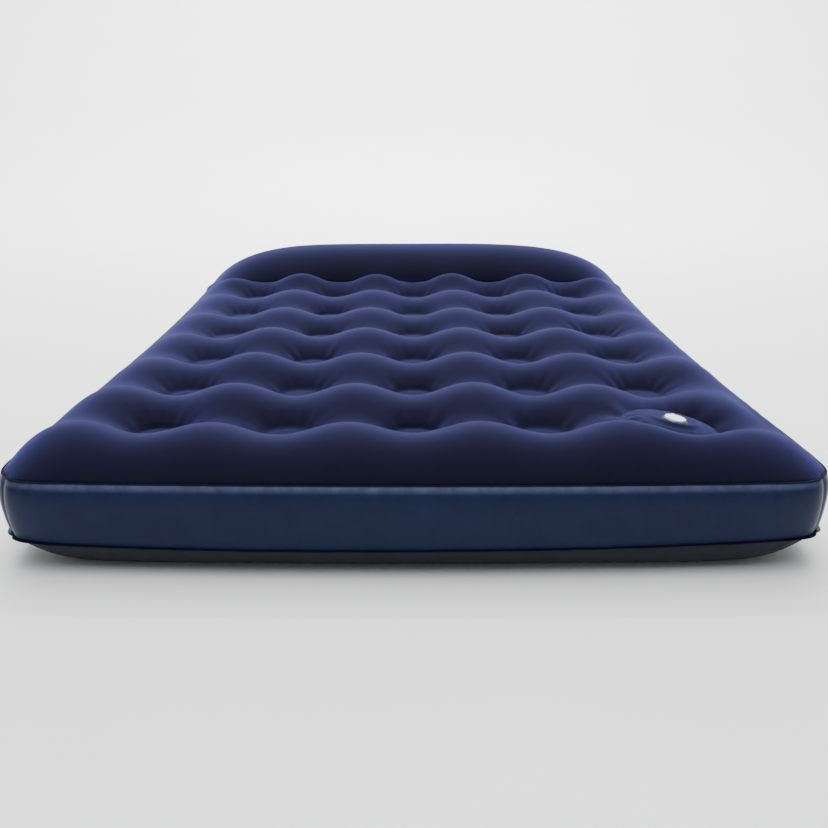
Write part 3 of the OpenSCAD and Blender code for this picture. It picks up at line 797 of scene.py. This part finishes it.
def build_pump():
    """The flocked dome, with a hole for the intake. Its foot stays on the bed, and its crown goes down."""
    crown = (middle(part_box("intake_body")) - pump_centre).dot(pump_axis) + CROWN_RISE
    rings, spokes = 40, 144
    turn = np.linspace(0, 2 * math.pi, spokes, endpoint=False)
    r = np.linspace(INTAKE_HOLE, PUMP_RADIUS + 0.001, rings + 1)[:, None]
    t = (r - INTAKE_HOLE) / (PUMP_RADIUS - INTAKE_HOLE)
    z = crown * np.sqrt(np.clip(1 - t ** 2.1, 0, 1)) - 0.0004
    z = z + INTAKE_ROLL * np.exp(-((t - 0.12) / 0.16) ** 2) * (0.75 - 0.25 * np.sin(turn))
    numbers, phases, sizes = waves(5, 6, 9, 25)
    folds = sum(s * np.cos(n * turn + f) for n, f, s in zip(numbers, phases, sizes)) / sizes.sum()
    z = z + DOME_FOLDS * folds * beyond(t, start=0.45, width=0.4) * within(t, end=1, width=0.12)
    x, y = r * np.cos(turn), r * np.sin(turn)
    points = np.array([pump_point(a, b, c) for a, b, c in zip(x.ravel(), y.ravel(), (z + 0 * x).ravel())])
    faces = grid_faces(rings + 1, spokes, closed=True, flip=True)
    obj = mesh_object("pump_dome", points, faces, FLOCK)
    held = list(range(3 * spokes)) + list(range((rings - 1) * spokes, (rings + 1) * spokes))
    cloth_pass(obj, held, pressure=3.0, shrink=-0.02, frames=18, most=0.004)
    subdivide(obj)
    thicken(obj, DOME_CLOTH)
    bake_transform(obj)
    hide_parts("pump_cover", "pump_skirt")
    build_pump_foam()
    build_pump_weld()


def build_pump_foam():
    """The foam ring under the dome, a little barrelled. The dome's stroke presses it flat."""
    low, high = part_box("pump_foam")
    radius = (high.y - low.y) / 2
    tall = ((high.z - low.z) - 2 * radius * math.sin(PUMP_TILT)) / math.cos(PUMP_TILT)
    base = (middle((low, high)) - pump_centre).dot(pump_axis) - tall / 2
    bore, soft, spokes = 0.0175, 0.003, 120
    profile = [(bore + soft, 0), (radius - soft, 0), (radius - 0.001, soft), (radius, tall / 2),
               (radius - 0.001, tall - soft), (radius - soft, tall), (bore + soft, tall), (bore, tall - soft),
               (bore + 0.001, tall / 2), (bore, soft)]
    turn = np.linspace(0, 2 * math.pi, spokes, endpoint=False)
    points = [pump_point(r * math.cos(a), r * math.sin(a), base + z) for r, z in profile for a in turn]
    faces = grid_faces(len(profile) + 1, spokes, closed=True, flip=True) % len(points)
    obj = mesh_object("pump_foam_ring", np.array(points), faces, FOAM)
    subdivide(obj)
    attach(obj, "mattress")
    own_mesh(obj)
    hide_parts("pump_foam")


def build_pump_weld():
    """The ring where the dome is welded to the top sheet, with a fine pressed line round it."""
    spokes = 160
    turn = np.linspace(0, 2 * math.pi, spokes, endpoint=False)
    section = [(-0.006, -0.0012), (-0.006, 0.0004), (-0.002, 0.0009), (0.0, 0.0003), (0.002, 0.0009),
               (0.005, 0.0004), (0.006, -0.0012)]
    points = []
    for dr, z in section:
        r = PUMP_RADIUS - 0.001 + dr
        points += [pump_point(r * math.cos(a), r * math.sin(a), z) for a in turn]
    faces = grid_faces(len(section), spokes, closed=True, flip=True)
    last = (len(section) - 1) * spokes
    bottom = [[k, (k + 1) % spokes, last + (k + 1) % spokes, last + k] for k in range(spokes)]
    obj = mesh_object("pump_weld", np.array(points), [list(f) for f in faces] + bottom, FLOCK)
    subdivide(obj)
    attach(obj, "mattress")
    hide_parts("pump_rim")


# ---------------------------------------------------------------- the CAD nodes that stay

def dress_nodes():
    """Gives each carried-over CAD node its material. The ones not named here lie inside the bed."""
    looks = {"valve_flange": WALL, "valve_seat": BLUE, "valve_stopper": BLUE, "valve_cap": BLUE,
             "valve_pin": BLUE, "valve_tether": BLUE, "valve_gasket": RUBBER, "intake_body": DARK,
             "intake_cap": WHITE, "intake_pin": WHITE, "outlet_body": WHITE, "pump_foam": FOAM}
    for name, obj in frame["nodes"].items():
        material = looks.get(name, FILM)
        for k in range(max(1, len(obj.material_slots))):
            if not obj.material_slots:
                obj.data.materials.append(material)
            obj.material_slots[k].material = material


# ---------------------------------------------------------------- studio

def build_studio():
    """A pale floor that curves up into a backdrop, a dim world and three soft lights."""
    back, radius = 3.0, 7.0
    sweep = [(-9.0, 0.0), (back, 0.0)]
    for a in np.linspace(0.04, math.pi / 2, 30):
        sweep.append((back + radius * math.sin(a), radius - radius * math.cos(a)))
    sweep += [(10.0, 16.0)]
    points = [(x, y, z - 0.0005) for y, z in sweep for x in (-16, 16)]
    faces = [(2 * k, 2 * k + 1, 2 * k + 3, 2 * k + 2) for k in range(len(sweep) - 1)]
    mesh_object("studio_floor", points, faces, floor_material())
    world = bpy.data.worlds.new("studio")
    bpy.context.scene.world = world
    world.use_nodes = True
    background = world.node_tree.nodes["Background"]
    background.inputs["Color"].default_value = (0.95, 0.97, 1.0, 1)
    background.inputs["Strength"].default_value = 0.45
    area_light("top_soft", place=(0.0, -0.6, 3.4), aim=(0, -0.6, 0.1), size=(2.8, 7.0), power=305)
    area_light("back_soft", place=(0.0, 4.6, 2.8), aim=(0, 0.0, 0.15), size=(4.6, 2.0), power=150)
    area_light("backdrop_soft", place=(0.0, 3.4, 6.0), aim=(0, 9.0, 1.0), size=(9.0, 2.0), power=1900)


def area_light(name, place, aim, size, power):
    light = bpy.data.lights.new(name, "AREA")
    light.shape = "RECTANGLE"
    light.size, light.size_y = size
    light.energy = power
    obj = bpy.data.objects.new(name, light)
    obj.location = place
    obj.rotation_euler = (Vector(aim) - Vector(place)).to_track_quat("-Z", "Y").to_euler()
    bpy.context.scene.collection.objects.link(obj)


FOCAL_LENGTH = 43.48  # mm
LOOK_DOWN = 17.81  # degrees below the level


def build_camera():
    """Low, centred on the foot end and looking up the bed."""
    camera = bpy.data.cameras.new("camera")
    camera.sensor_width = 36
    camera.lens = FOCAL_LENGTH
    camera.clip_end = 60
    obj = bpy.data.objects.new("camera", camera)
    obj.location = (0.0, -2.390, 0.746)
    obj.rotation_euler = (math.radians(90 - LOOK_DOWN), 0, 0)
    bpy.context.scene.collection.objects.link(obj)
    bpy.context.scene.camera = obj


build_camera()
build_studio()
dress_nodes()
top_points, seam_row = build_top()
build_pillow_weld(top_points, seam_row)
build_wall()
build_weld("top_weld", "top_seam", lambda xy: np.full(len(xy), TOP_SEAM_Z), 21, 0.0034, WELD)
build_weld("bottom_weld", "bottom_seam", bottom_seam_height, 22, 0.0050, HEM)
build_bottom()
build_pump()
